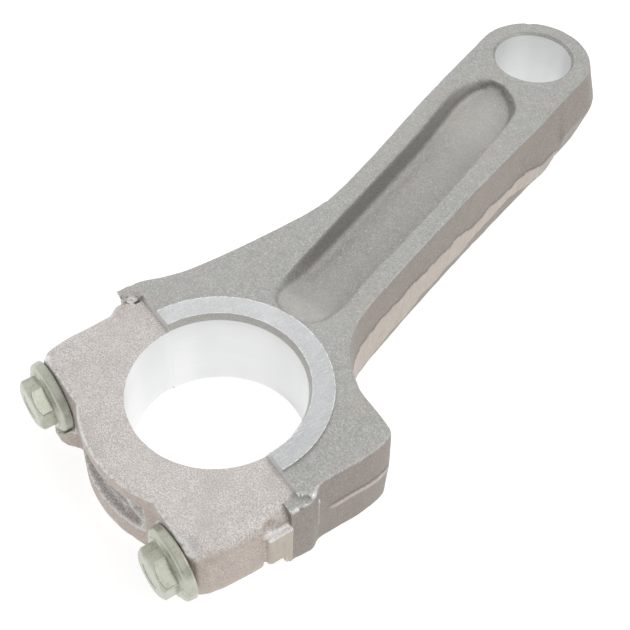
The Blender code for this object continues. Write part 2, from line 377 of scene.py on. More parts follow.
def in_bolt_hole(u, z):
    inside = np.zeros(len(u), bool)
    for bolt in BOLT_U:
        inside |= np.hypot(u - bolt, z) < HOLE_R + 0.05
    return inside


def finish_piece(obj, body, node, sharp_deg=38):
    """Bring a piece to its place in metres, shade it and hand it to the frame."""
    mesh = obj.data
    mesh.transform(Matrix.Translation(ORIGIN) @ Matrix.Scale(MM, 4))
    mesh.shade_smooth()
    mesh.set_sharp_from_angle(angle=math.radians(sharp_deg))
    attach(obj, body)
    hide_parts(node)


# -------- materials
class Graph:
    """Short-hand for building one material's node tree."""

    def __init__(self, name, metallic, specular=0.5):
        self.material = bpy.data.materials.new(name)
        self.material.use_nodes = True
        self.tree = self.material.node_tree
        self.shader = self.tree.nodes["Principled BSDF"]
        self.shader.inputs["Metallic"].default_value = metallic
        self.shader.inputs["Specular IOR Level"].default_value = specular
        self.object_space = self.add("ShaderNodeTexCoord").outputs["Object"]

    def add(self, kind, values=None, **settings):
        """New node; each value is a constant for its socket or another node's output."""
        node = self.tree.nodes.new(kind)
        for key, value in settings.items():
            setattr(node, key, value)
        for key, value in (values or {}).items():
            socket = node.inputs[key]
            if isinstance(value, bpy.types.NodeSocket):
                self.tree.links.new(value, socket)
            else:
                socket.default_value = value
        return node

    def noise(self, size_mm, detail=3.0, roughness=0.6, stretch=None, turn=0.0):
        """Noise between 0 and 1 whose grains are about size_mm apart."""
        where = self.object_space
        if stretch:
            where = self.add("ShaderNodeMapping", {"Vector": where, "Scale": stretch,
                                                   "Rotation": (0.0, 0.0, turn)}).outputs[0]
        values = {"Vector": where, "Scale": 1.0 / (size_mm * MM), "Detail": detail,
                  "Roughness": roughness}
        return self.add("ShaderNodeTexNoise", values).outputs["Fac"]

    def ramp(self, factor, low, high, bottom=0.0, top=1.0):
        """Smooth step from bottom to top while the factor goes from low to high."""
        values = {"Value": factor, "From Min": low, "From Max": high, "To Min": bottom,
                  "To Max": top}
        return self.add("ShaderNodeMapRange", values, interpolation_type="SMOOTHSTEP").outputs[0]

    def math(self, operation, a, b):
        return self.add("ShaderNodeMath", {0: a, 1: b}, operation=operation).outputs[0]

    def times(self, a, b):
        return self.math("MULTIPLY", a, b)

    def vector(self, operation, a, b=(0.0, 0.0, 0.0)):
        node = self.add("ShaderNodeVectorMath", {0: a, 1: b}, operation=operation)
        return node.outputs["Value" if operation in ("LENGTH", "DOT_PRODUCT") else "Vector"]

    def mask(self, name):
        return self.add("ShaderNodeAttribute", attribute_name=name).outputs["Fac"]

    def mix(self, factor, a, b, blend="MIX"):
        """Colour mix; a and b are colours or sockets."""
        node = self.add("ShaderNodeMix", {0: factor}, data_type="RGBA", blend_type=blend)
        for socket, value in ((node.inputs[6], a), (node.inputs[7], b)):
            if isinstance(value, bpy.types.NodeSocket):
                self.tree.links.new(value, socket)
            else:
                socket.default_value = (*value, 1.0)
        return node.outputs[2]

    def arcs(self, pitch_mm, centre_mm):
        """Cutter marks: uneven fine arcs about a point that may lie far off the part."""
        offset = (-(centre_mm[0] * MM + ORIGIN.x), -(centre_mm[1] * MM + ORIGIN.y), 0.0)
        flat = self.vector("MULTIPLY", self.vector("ADD", self.object_space, offset),
                           (1.0, 1.0, 0.0))
        radius = self.vector("LENGTH", flat)
        reach = math.hypot(*centre_mm)
        aside = (centre_mm[1] / reach, -centre_mm[0] / reach, 0.0)
        along = self.vector("DOT_PRODUCT", flat, aside)
        where = self.add("ShaderNodeCombineXYZ", {
            "X": self.math("DIVIDE", radius, pitch_mm * MM),
            "Y": self.math("DIVIDE", along, 14.0 * pitch_mm * MM)}).outputs[0]
        values = {"Vector": where, "Scale": 1.0, "Detail": 2.0, "Roughness": 0.6}
        return self.add("ShaderNodeTexNoise", values).outputs["Fac"]

    def radius_mm(self):
        """Distance from the crankpin axis, in millimetres."""
        scaled = self.vector("MULTIPLY", self.object_space, (1 / MM, 1 / MM, 0.0))
        centre = (ORIGIN.x / MM, ORIGIN.y / MM, 0.0)
        return self.vector("LENGTH", self.vector("SUBTRACT", scaled, centre))

    def bump(self, height, depth_mm, strength=1.0, after=None):
        values = {"Height": height, "Strength": strength, "Distance": depth_mm * MM}
        if after:
            values["Normal"] = after
        return self.add("ShaderNodeBump", values).outputs[0]

    def done(self, colour, roughness, normal):
        self.tree.links.new(colour, self.shader.inputs["Base Color"])
        self.tree.links.new(roughness, self.shader.inputs["Roughness"])
        self.tree.links.new(normal, self.shader.inputs["Normal"])
        return self.material


def cast_material(name, dark, light, side_tint_and_shade, land_tint, grain_mm, sparkle):
    """As-cast or blasted aluminium with trimmed lands, worn edges, mottling and scratches, with
    painted shade on the sides and in the pocket, and painted light and highlights.
    """
    g = Graph(name, 0.6)

    # skin: grain, mottling, rosy stains, sparkling flecks and pale zones, partly painted light
    grain = g.noise(grain_mm, 2.0, 0.7)
    fleck = g.noise(grain_mm * 0.9, 1.0, 0.5)
    mottle = g.noise(2.6, 4.0, 0.7)
    cloud = g.noise(22.0, 3.0, 0.5)
    colour = g.mix(g.ramp(grain, 0.36, 0.64), dark, light)
    colour = g.mix(g.ramp(mottle, 0.4, 0.7, 0.0, 0.3), colour, [c * 0.9 for c in dark])
    colour = g.mix(g.ramp(cloud, 0.35, 0.7, 0.0, 0.2), colour, [c * 0.95 for c in light])
    rosy = g.ramp(g.noise(9.0, 3.0, 0.6), 0.5, 0.68, 0.0, 0.28)
    colour = g.mix(rosy, colour, (0.5, 0.44, 0.41))
    colour = g.mix(g.ramp(fleck, 0.6, 0.72, 0.0, sparkle), colour, (0.97, 0.97, 0.95))
    # pale zones: the machined mouth of the bore, and painted light on the pocket floor
    colour = g.mix(g.times(g.mask("pale_and_painted_light"), 0.42), colour, (0.72, 0.69, 0.655))

    # pits and scratches
    pits = g.times(g.ramp(g.noise(0.38, 2.0, 0.6), 0.54, 0.4), g.mask("grit"))
    colour = g.mix(pits, colour, dark)
    scratch = g.noise(0.5, 2.0, 0.5, (0.05, 1.0, 1.0), 0.5)
    scratch = g.ramp(scratch, 0.7, 0.76, 0.0, 0.35)
    scuffed = g.times(scratch, g.ramp(cloud, 0.5, 0.6))
    colour = g.mix(scuffed, colour, (0.78, 0.78, 0.76))

    # darker sides, partly the metal's rosy tint and partly painted shade; the trimmed land; painted
    # shadow along its torn edge and painted shade on the pocket wall; then what is rubbed bright, with
    # painted highlights
    # painted shade: the sides are darkened as well as tinted rosy
    colour = g.mix(g.times(g.mask("side"), 0.85), colour, side_tint_and_shade, "MULTIPLY")
    land = g.mask("land")
    streaks = g.ramp(g.noise(0.8, 3.0, 0.6, (1.0, 1.0, 0.25)), 0.3, 0.7)
    land_colour = g.mix(streaks, [c * 0.86 for c in land_tint], land_tint)
    land_colour = g.mix(g.ramp(grain, 0.4, 0.7, 0.0, 0.3), land_colour, (0.68, 0.64, 0.58))
    colour = g.mix(land, colour, land_colour)
    # painted shadow along the torn edge, and painted shade on the pocket's left wall
    colour = g.mix(g.times(g.mask("painted_shade"), 0.6), colour, (0.16, 0.145, 0.13))
    # edges worn bright, plus a painted highlight along the cap's rounded edges
    bright_edges = g.times(g.mask("edge"), g.ramp(g.noise(0.9, 3.0), 0.34, 0.56))
    colour = g.mix(g.times(bright_edges, 0.8), colour, (0.93, 0.93, 0.91))
    polish_and_highlight = g.mask("polish_and_highlight")
    # near-white painted highlight, with lower roughness for the polished parts
    colour = g.mix(g.times(polish_and_highlight, 0.7), colour, (0.9, 0.9, 0.89))

    rough = g.ramp(grain, 0.3, 0.7, 0.42, 0.62)
    rough = g.math("SUBTRACT", rough, g.times(land, 0.1))
    rough = g.math("SUBTRACT", rough, g.times(bright_edges, 0.12))
    rough = g.math("SUBTRACT", rough, g.times(polish_and_highlight, 0.2))
    height = g.times(grain, g.math("SUBTRACT", 1.0, g.times(land, 0.6)))
    normal = g.bump(mottle, 0.3, 0.6)
    normal = g.bump(height, 0.16, 0.9, normal)
    normal = g.bump(pits, -0.22, 0.8, normal)
    normal = g.bump(scratch, -0.04, 0.4, normal)
    return g.done(colour, rough, normal)


def bored_material():
    """Finish-bored surface: very pale, with faint tool marks around it and soft bands along it."""
    g = Graph("bored_aluminium", 0.6)
    marks = g.noise(0.5, 2.0, 0.5, (0.03, 0.03, 1.0))
    cloud = g.noise(6.0, 3.0, 0.5)
    bands = g.noise(8.0, 1.0, 0.4, (1.0, 1.0, 0.02))
    colour = g.mix(g.ramp(marks, 0.3, 0.7), (0.88, 0.885, 0.885), (0.905, 0.905, 0.905))
    colour = g.mix(g.ramp(bands, 0.35, 0.65, 0.0, 0.4), colour, (0.76, 0.765, 0.77))
    rough = g.ramp(cloud, 0.3, 0.7, 0.3, 0.38)
    return g.done(colour, rough, g.bump(marks, 0.001, 0.3))


def milled_material():
    """Face-milled thrust ring: crossing sets of fine, uneven cutter arcs."""
    g = Graph("milled_aluminium", 0.6)
    first = g.arcs(0.2, (-75.0, 40.0))
    second = g.arcs(0.18, (60.0, 78.0))
    lines = g.math("MAXIMUM", g.ramp(first, 0.45, 0.75), g.ramp(second, 0.48, 0.78))
    fine = g.noise(0.3, 3.0, 0.6)
    cloud = g.noise(5.0, 3.0, 0.5)
    colour = g.mix(g.ramp(fine, 0.35, 0.7), (0.42, 0.425, 0.43), (0.54, 0.545, 0.55))
    colour = g.mix(g.ramp(cloud, 0.4, 0.7, 0.0, 0.35), colour, (0.6, 0.6, 0.61))
    colour = g.mix(g.times(lines, 0.5), colour, (0.78, 0.78, 0.79))
    radius = g.radius_mm()
    rim = g.math("MAXIMUM", g.ramp(radius, RING_R - 0.3, RING_R),
                 g.ramp(radius, MOUTH_R + 0.3, MOUTH_R))
    nicked = g.times(rim, g.ramp(g.noise(0.7, 2.0), 0.4, 0.6))
    colour = g.mix(g.times(nicked, 0.8), colour, (0.95, 0.95, 0.95))
    rough = g.ramp(fine, 0.2, 0.8, 0.32, 0.48)
    return g.done(colour, rough, g.bump(lines, 0.02, 0.6, g.bump(fine, 0.03, 0.5)))


def drilled_material():
    """Drilled bolt hole: darker, with streaks along it."""
    g = Graph("drilled_aluminium", 0.8)
    marks = g.noise(0.5, 2.0, 0.5, (0.3, 0.3, 1.0))
    colour = g.mix(marks, (0.3, 0.3, 0.3), (0.5, 0.5, 0.49))
    return g.done(colour, g.ramp(marks, 0, 1, 0.3, 0.5), g.bump(marks, 0.03, 0.5))


def zinc_material():
    """Zinc plate with a faint green-yellow passivation and a few dark specks."""
    g = Graph("zinc_passivated", 0.55)
    cloud = g.noise(2.6, 4.0, 0.6)
    fine = g.noise(0.28, 3.0, 0.6)
    spot = g.noise(1.1, 2.0, 0.5)
    colour = g.mix(g.ramp(cloud, 0.3, 0.7), (0.44, 0.45, 0.365), (0.57, 0.58, 0.5))
    colour = g.mix(g.ramp(fine, 0.4, 0.75, 0.0, 0.35), colour, (0.72, 0.73, 0.66))
    colour = g.mix(g.ramp(spot, 0.72, 0.78, 0.0, 0.6), colour, (0.25, 0.24, 0.22))
    rough = g.ramp(cloud, 0.3, 0.7, 0.24, 0.36)
    return g.done(colour, rough, g.bump(fine, 0.012, 0.5, g.bump(cloud, 0.012, 0.4)))


# -------- rod half
def smooth_path(points, spacing, rounds):
    """Closed outline resampled at even spacing, its corners rounded by repeated averaging."""
    path = np.array(points + points[:1], float)
    run = np.concatenate([[0.0], np.cumsum(np.linalg.norm(np.diff(path, axis=0), axis=1))])
    marks = np.linspace(0.0, run[-1], int(run[-1] / spacing) + 1)[:-1]
    even = np.stack([np.interp(marks, run, path[:, k]) for k in (0, 1)], 1)
    for _ in range(rounds):
        even = 0.5 * even + 0.25 * (np.roll(even, 1, 0) + np.roll(even, -1, 0))
    return even


def rod_outline():
    """Face edge of the rod half, counter-clockwise, its two lugs running past their tips."""
    right_boss = [(28.3, -7.0), (30.8, -7.0), (30.95, 2.0),
                  (30.5, 2.9), (29.5, 3.35), (29.15, 4.4), (29.25, 14.0), (28.9, 18.0),
                  (28.3, 20.6), (27.6, 22.1)]
    left_boss = [(-29.7, 18.5), (-29.9, 13.0), (-30.4, 9.4), (-31.3, 5.4), (-32.3, 2.9),
                 (-32.8, 1.2), (-33.0, -1.5), (-33.0, -7.0), (-29.0, -7.0)]
    right_shank = [(32.6, 12.1), (29.0, 13.7), (25.0, 15.25), (22.4, 16.5), (19.5, 18.9),
                   (17.2, 21.3), (15.4, 23.8), (14.1, 26.4), (13.2, 29.0), (12.7, 31.8),
                   (12.45, 36.0), (12.4, 50.0), (12.6, 70.0), (13.0, 82.0), (13.4, 92.0),
                   (13.8, 102.0), (14.0, 112.0), (14.1, 122.0)]
    left_shank = [(-14.1, 122.0), (-14.0, 111.0), (-13.8, 101.0), (-13.4, 91.0), (-12.8, 81.0),
                  (-12.4, 72.0), (-12.2, 63.0), (-12.35, 57.5), (-12.9, 53.5), (-14.3, 48.1),
                  (-16.1, 42.6), (-18.4, 35.8), (-20.2, 30.8)]
    points = [split_to_rod(u, v) for u, v in right_boss]
    points += right_shank
    points += arc((0.0, CENTRES), EYE_R, 0, 180, 40)
    points += left_shank
    points += [split_to_rod(u, v) for u, v in left_boss]
    return smooth_path(points, 0.6, 4)


def land_limits(path):
    """Lower and upper z of the ragged trimmed land, and how much of it is left, along the path."""
    flat = np.column_stack([path, np.zeros(len(path))])
    y = path[:, 1]
    low = np.interp(y, LAND_Y, LAND_BOTTOM) + 0.3 * field(flat, 9.0, 11)
    low = low + 0.12 * field(flat, 3.0, 12)
    high = np.interp(y, LAND_Y, LAND_TOP) + 0.45 * field(flat, 11.0, 13)
    high = high + 0.16 * field(flat, 3.5, 14)
    v = rod_to_split(path[:, 0], y)[1]
    shank = step(y, 12.0, 17.0) * (1 - step(y, 108.0, 117.0))
    boss = (1 - step(y, 8.0, 12.0)) * step(v, 5.5, 8.0)
    middle = (low + high) / 2
    half = (high - low) / 2
    slit = boss * 0.12
    low = np.where(shank > slit, middle - half * shank, 0.3 - half * slit)
    high = np.where(shank > slit, middle + half * shank, 0.3 + half * slit)
    return low, high, np.maximum(shank, boss * 0.5)


def rod_blank(path):
    """Rough rod half: its outline with drafted edges, the trimmed land and the fuller right side."""
    ahead = np.roll(path, -1, 0) - np.roll(path, 1, 0)
    outward = np.stack([ahead[:, 1], -ahead[:, 0]], 1)
    outward /= np.linalg.norm(outward, axis=1)[:, None]
    low, high, presence = land_limits(path)
    flat = np.column_stack([path, np.zeros(len(path))])
    right = step(path[:, 1], 14.0, 22.0) * step(path[:, 0], 5.0, 10.0)
    bulge = 0.34 + 0.3 * right + 0.05 * field(flat, 6.0, 15)
    around_eye = step(path[:, 1], 97.0, 108.0) * step(path[:, 0], 5.0, 10.5)
    bulge = bulge + 2.0 * around_eye * (1 - step(path[:, 1], 134.0, 139.0))
    lip = 0.22 * step(presence, 0.05, 0.4)
    ones = np.ones(len(path))
    levels = [(-ROD_Z * ones, -0.35 * ones), ((-ROD_Z + 0.35) * ones, 0.0 * ones),
              (low - 0.12, bulge), (low + 0.12, bulge + lip), (high - 0.12, bulge + lip),
              (high + 0.12, bulge), ((ROD_Z - 0.35) * ones, 0.0 * ones),
              (ROD_Z * ones, -0.35 * ones)]
    sections = []
    for z, out in levels:
        ring = path + outward * out[:, None]
        sections.append([(ring[i, 0], ring[i, 1], z[i]) for i in range(len(path))])
    return loft("connecting_rod", sections)


def pocket(side):
    """Long recess of the shank: rows of y, left edge, right edge, left foot, right foot, floor."""
    rows = np.array((
        (23.0, 0.2, 3.6, 1.0, 3.0, 9.8), (23.6, -1.9, 4.6, -1.0, 3.8, 9.4),
        (24.5, -3.9, 5.5, -3.0, 4.7, 9.1), (25.6, -5.2, 6.6, -4.3, 5.7, 8.8),
        (27.3, -6.2, 7.6, -5.3, 6.7, 8.5), (30.0, -6.7, 8.0, -5.8, 7.0, 7.9),
        (33.0, -6.8, 8.1, -6.0, 7.2, 6.5), (36.0, -6.9, 7.9, -6.1, 7.0, 5.7),
        (40.0, -7.0, 7.8, -6.2, 6.9, 5.1), (45.0, -7.2, 7.8, -6.3, 6.9, 4.8),
        (52.0, -7.4, 7.9, -6.4, 7.0, 4.7), (75.0, -7.9, 8.0, -6.7, 7.0, 4.7),
        (88.0, -8.4, 7.8, -7.1, 6.7, 4.8), (93.0, -8.8, 7.6, -7.5, 6.5, 5.0),
        (98.0, -9.2, 7.4, -7.8, 6.4, 5.3), (103.0, -9.6, 7.3, -8.1, 6.2, 5.6),
        (106.5, -9.5, 6.9, -8.0, 5.8, 5.9), (109.5, -8.9, 5.7, -7.4, 4.6, 6.3),
        (111.8, -7.9, 3.9, -6.4, 2.8, 6.8), (113.4, -6.5, 1.9, -5.1, 0.8, 7.4),
        (114.3, -4.9, 0.3, -3.9, -0.5, 8.1), (114.8, -3.5, -1.5, -3.0, -2.0, 9.0)))
    marks = np.arange(rows[0, 0], rows[-1, 0], 0.5)
    fine = np.stack([np.interp(marks, rows[:, 0], rows[:, k]) for k in range(1, 6)], 1)
    padded = np.concatenate([fine[:1]] * 2 + [fine] + [fine[-1:]] * 2)
    fine = sum(padded[k:k + len(fine)] for k in range(5)) / 5
    top = ROD_Z + 1.4
    turns = (0.0, 0.4, 0.8, 1.2, math.pi / 2)
    sections = []
    for y, (left, right, left_foot, right_foot, floor) in zip(marks, fine):
        width, depth = right_foot - left_foot, ROD_Z - floor
        grow = (top - ROD_Z) / max(depth, 0.3)
        left_bend = min(2.0, width * 0.35, depth * 0.5)
        right_bend = min(1.3, width * 0.3, depth * 0.6)
        ring = [(left + (left - left_foot) * grow, top), (left, ROD_Z)]
        ring += [(left_foot + left_bend * (1 - math.cos(t)), floor + left_bend * (1 - math.sin(t)))
                 for t in turns]
        ring += [(right_foot - right_bend * (1 - math.cos(t)),
                  floor + right_bend * (1 - math.sin(t))) for t in reversed(turns)]
        ring += [(right, ROD_Z), (right + (right - right_foot) * grow, top)]
        sections.append([(x, y, side * z) for x, z in ring])
    return loft("pocket", sections)


def rough_rod(path):
    """The rod half as cast: blank, pockets, lugs, and a rib of flash beside the right lug."""
    rod = rod_blank(path)
    for side in (1, -1):
        cut(rod, pocket(side))
    lug = ((27.3, -12.0), (CLEAR_U, -12.0), (CLEAR_U, 1.5), (30.3, 1.4), (27.3, -1.6))
    cut(rod, in_split("lug_top", lug, CAP_Z - 0.04, CLEAR_Z))
    cut(rod, in_split("lug_bottom", lug, -CLEAR_Z, -CAP_Z + 0.04))
    under = ((-CLEAR_U, -9.0), (-31.5, -9.0), (-31.5, -2.0), (-34.5, 3.0))
    cut(rod, in_split("lug_under", under, -CLEAR_Z, ROD_Z - 0.9))
    ledge = ((-28.0, -5.0), (-28.0, -0.95), (-30.26, -0.86), (-30.4, -2.7), (-31.3, -4.0),
             (-31.3, -5.0))
    cut(rod, in_split("ledge", ledge, CAP_Z, CLEAR_Z))
    flash = ((28.6, 2.9), (31.15, 2.9), (31.15, 3.3), (28.6, 3.3))
    join(rod, in_split("flash", flash, -0.4, 8.0))
    cast_skin(rod, ROD_VOXEL, 21, 70)
    return rod


def machine_rod(rod):
    """Thrust ring, both bores with their chamfers, the joint with its lip, and the bolt holes."""
    ring = arc((0.0, 0.0), RING_R, -30.0, 170.0, BORE_SIDES)
    join(rod, prism("ring", ring, -RING_Z, RING_Z))
    crank = [(MOUTH_R + 0.5, -RING_Z - 1.0), (MOUTH_R + 0.05, -RING_Z), (CRANK_R, -CAP_Z - 0.2),
             (CRANK_R, CAP_Z + 0.2), (MOUTH_R + 0.05, RING_Z), (MOUTH_R + 0.5, RING_Z + 1.0)]
    cut(rod, turned("bore", crank, BORE_SIDES))
    pin = [(PIN_R + 1.1, -ROD_Z - 0.7), (PIN_R + 0.55, -ROD_Z + 0.05), (PIN_R, -ROD_Z + 0.7),
           (PIN_R, ROD_Z - 0.7), (PIN_R + 0.55, ROD_Z - 0.05), (PIN_R + 1.1, ROD_Z + 0.7)]
    cut(rod, turned("bore", pin, 120, (0.0, CENTRES)))
    sections = []
    for z, lip in ((-CLEAR_Z, 0.0), (-10.8, 0.0), (-CAP_Z - 0.03, -LIP), (-CAP_Z - 0.02, 0.0),
                   (CAP_Z + 0.02, 0.0), (CAP_Z + 0.03, -LIP), (10.8, 0.0), (CLEAR_Z, 0.0)):
        joint = ((LUG_U[0], -3.05), (-31.3, -3.95), (-CLEAR_U, -3.95), (-CLEAR_U, -20.0),
                 (CLEAR_U, -20.0), (CLEAR_U, LUG_V), (LUG_U[1], LUG_V), (LUG_U[1], lip),
                 (LUG_U[0], lip))
        sections.append([(*split_to_rod(u, v), z) for u, v in joint])
    cut(rod, loft("joint", sections))
    for u in BOLT_U:
        hole = turned("hole", [(HOLE_R, -6.0), (HOLE_R, 15.0), (0.5, 17.0)], 48)
        cut(rod, along_split(hole, u))


def make_rod(cast, milled, bored, drilled):
    path = rod_outline()
    rod = rough_rod(path)
    machine_rod(rod)
    add_rod_masks(rod.data, path)

    def ring_faces(centre, facing):
        reach, _ = from_axis(centre, facing)
        return (abs(centre[:, 2]) > RING_Z - 0.06) & (reach < RING_R + 0.2)

    def bore_faces(centre, facing):
        reach, inward = from_axis(centre, facing)
        big = (reach < CRANK_R + 0.1) & (inward > 0.9)
        big |= (reach < MOUTH_R + 0.1) & (centre[:, 2] < -CAP_Z) & (facing[:, 2] > -0.95)
        return big | (np.hypot(centre[:, 0], centre[:, 1] - CENTRES) < PIN_R + 0.12)

    def joint_faces(centre, facing):
        _, v, toward = in_split_frame(centre, facing)
        lip = (centre[:, 2] > CAP_Z) & (abs(v) < LIP + 0.1) & (toward < -0.6)
        return (abs(v) < 0.05) & (toward < -0.9) | lip

    def hole_faces(centre, facing):
        u, v, _ = in_split_frame(centre, facing)
        return in_bolt_hole(u, centre[:, 2]) & (v > 0.02) & (v < 18)

    paint(rod, (cast, milled, bored, drilled),
          ((1, ring_faces), (2, bore_faces), (2, joint_faces), (3, hole_faces)))
    finish_piece(rod, "rod", "rod_body")


def add_rod_masks(mesh, path):
    """Where the rod half has its trimmed land, rougher sides darkened partly as painted shade, a
    pocket with painted shade on its wall and painted light on its floor, and worn edges with a painted
    highlight on the right lug.
    """
    co, out = vertices(mesh), normals(mesh)
    nearest = np.empty(len(co), int)
    distance = np.empty(len(co))
    chunk = 20000
    for start in range(0, len(co), chunk):
        part = co[start:start + chunk, :2]
        gap = ((part[:, None, :] - path[None]) ** 2).sum(2)
        nearest[start:start + chunk] = gap.argmin(1)
        distance[start:start + chunk] = np.sqrt(gap.min(1))
    low, high, presence = land_limits(path)
    low, high, trimmed = low[nearest], high[nearest], step(presence[nearest], 0.05, 0.3)
    x, y, z = co.T
    u, v = rod_to_split(x, y)
    reach = np.hypot(x, y)
    upright = step(1 - abs(out[:, 2]), 0.3, 0.7)
    on_side = upright * (1 - step(distance, 2.5, 3.0))
    # the sides, which the material darkens partly as painted shade
    add_mask(mesh, "side", on_side)

    # the land left by trimming the flash, and the torn line above it, darkened as its painted shadow
    between = step(z, low - 0.25, low + 0.1) * (1 - step(z, high - 0.1, high + 0.25))
    add_mask(mesh, "land", between * on_side * trimmed)
    painted_shade = step(z, high, high + 0.1) * (1 - step(z, high + 0.3, high + 0.8))
    painted_shade *= on_side * trimmed

    # the pocket: gritty, its left wall darkened as painted shade, the two ends of its floor lightened
    # as painted light, pale like the bore's mouth
    in_pocket = step(ROD_Z - abs(z), 0.5, 1.2) * (1 - step(abs(x), 9.5, 10.5))
    in_pocket *= step(y, 22.0, 24.0) * (1 - step(y, 113.5, 115.0))
    add_mask(mesh, "grit", in_pocket * (0.24 + 0.3 * upright))
    # the left wall of the pocket, darkened as painted shade
    wall = in_pocket * step(1 - abs(out[:, 2]), 0.12, 0.5) * (x < 0)
    add_mask(mesh, "painted_shade", np.maximum(painted_shade, 0.65 * wall * step(y, 28.0, 45.0)))
    # painted light: the floor is lightened, most at its two ends
    ends = 1 - step(y, 28.0, 40.0) + step(y, 90.0, 102.0)
    mouth = (reach < MOUTH_R + 0.3) & (z > CAP_Z)
    pale_and_painted_light = (0.2 + 0.8 * ends) * in_pocket * (1 - upright)
    add_mask(mesh, "pale_and_painted_light", np.maximum(pale_and_painted_light, mouth))

    # edges rubbed bright, except where they were machined; the ridges of the right lug also carry a
    # painted highlight, and the left lug's end face is made pale
    ridge = convexity(mesh, ROD_VOXEL, 1)
    # painted highlight, partly wear, on the ridges of the right lug
    add_mask(mesh, "polish_and_highlight", step(ridge, 0.04, 0.14) * (u > 26.0) * (v < 3.8))
    lug_end = (u < -28.0) & (v < -0.7) & (z < ROD_Z - 0.3) & (z > 5.0)
    machined = reach < MOUTH_R + 0.8
    machined |= np.hypot(x, y - CENTRES) < PIN_R + 1.3
    machined |= on_side * (abs(z) < ROD_Z - 1.6) * (y > 10.0) > 0.2
    add_mask(mesh, "edge", np.maximum(step(ridge, 0.06, 0.2) * ~machined, 0.8 * lug_end))


# -------- cap
def cap_outline():
    """Widest outline of the cap in the split frame, counter-clockwise, with edge classes."""
    left_seat, right_seat = SEAT_V
    left_angle = math.degrees(math.asin(left_seat / CAP_ARC_R))
    right_angle = math.degrees(math.asin(right_seat / CAP_ARC_R))
    points = [(30.6, 1.0), (-31.8, 1.0)]
    kinds = ["joint", "tab"]
    points += [(-31.8, -6.2), (-30.6, -7.7), (-30.35, -13.0), (-30.1, -18.0),
               (-29.6, -21.3), (-28.9, -23.2)]
    kinds += ["side"] * 6
    points.append((-27.9, left_seat))
    kinds.append("seat")
    bow = arc((0.0, 0.0), CAP_ARC_R, -180 - left_angle, right_angle, 44)
    points += bow
    kinds += ["bow"] * (len(bow) - 1) + ["seat"]
    points += [(27.5, right_seat), (28.7, -22.2), (29.5, -20.2), (30.1, -17.0), (30.3, -13.0),
               (30.45, -9.6)]
    kinds += ["side"] * 6
    return points, kinds


def cap_drop(kind, z):
    """How far an edge class is pulled in at height z: the sides are rounded over, draft added."""
    rounding = CAP_ROUNDING[kind]
    if z < 0 and kind in ("bow", "seat"):
        rounding = CAP_UNDER_ROUNDING
    above = abs(z) - (CAP_Z + 0.01 - rounding)      # the rounding never comes quite level
    draft = CAP_DRAFT * abs(z) if kind == "side" else 0.0
    if rounding == 0.0 or above <= 0:
        return draft
    return draft + rounding * (1 - math.sqrt(max(0.0, 1 - (above / rounding) ** 2))) * 0.8


def recess_ridge():
    """Low rib running slantwise across the right end of the recess."""
    sections = []
    for t in np.linspace(0.0, 1.0, 9):
        angle = math.radians(RIDGE_START[0] + RIDGE_RUN[0] * t)
        z = RIDGE_START[1] + RIDGE_RUN[1] * t
        ring = []
        for aside, radius in ((-1.0, 24.0), (1.0, 24.0), (0.3, RIDGE_R), (-0.3, RIDGE_R)):
            a = angle + 0.84 * aside / RECESS_R - SPLIT_ANGLE
            ring.append((radius * math.cos(a), radius * math.sin(a), z + 0.54 * aside))
        sections.append(ring)
    return loft("ridge", sections)


def recess():
    """Crescent recess between the two flanges of the cap's outside, running out to the left."""
    sections = []
    count = 44
    for k in range(count + 1):
        a = -SPLIT_ANGLE + math.radians(-119 + 57 * k / count)
        rise = 2.6 * max(0.0, 1 - k / 18) ** 2 + 2.4 * max(0.0, (k - 41.5) / 2.5)
        floor = RECESS_R + rise
        spread = 0.25 * rise
        profile = ((floor, -3.1 - spread), (floor, 4.5 + spread), (30.0, 6.0), (30.0, -3.9))
        sections.append([(r * math.cos(a), r * math.sin(a), z) for r, z in profile])
    return loft("recess", sections)


def rough_cap():
    """The cap as cast: rounded body, ear, recess with its rib, and the stepped tab."""
    points, kinds = cap_outline()
    rounding, count = CAP_ROUNDING["side"], 12
    fine = [CAP_Z - rounding * (1 - math.sin(math.radians(90 * k / count)))
            for k in range(count + 1)]
    heights = sorted(set([-z for z in fine] + [0.0] + fine))
    sections = []
    for z in heights:
        outline = pulled(points, [cap_drop(kind, z) for kind in kinds])
        sections.append([(*split_to_rod(u, v), z) for u, v in outline])
    cap = loft("bearing_cap_detail", sections)
    ear = ((-24.0, -22.0), (-23.6, -24.3), (-22.4, -26.1), (-20.6, -26.8), (-18.4, -26.8),
           (-16.6, -26.1), (-15.0, -24.8), (-12.0, -22.0))
    join(cap, in_split("ear", ear, -CAP_Z + 0.25, -3.4))
    cut(cap, recess())
    join(cap, recess_ridge())
    tab = ((26.0, -8.7), (31.4, -8.5), (31.65, -7.9), (31.7, 1.0), (26.0, 1.0))
    join(cap, in_split("tab", tab, TAB_UNDER, TAB_TOP))
    nick = ((28.0, -8.8), (CLEAR_U, -8.8), (CLEAR_U, -4.8), (28.6, -4.8))
    cut(cap, in_split("nick", nick, -CLEAR_Z, TAB_UNDER + 2.4))
    shelf = ((29.4, -4.9), (CLEAR_U, -4.9), (CLEAR_U, 0.5), (29.4, 0.5))
    cut(cap, in_split("shelf", shelf, -CLEAR_Z, TAB_UNDER))
    cast_skin(cap, CAP_VOXEL, 41, 36)
    dent(cap.data, (*split_to_rod(29.6, -7.4), 6.4), 1.9, 0.55)
    return cap


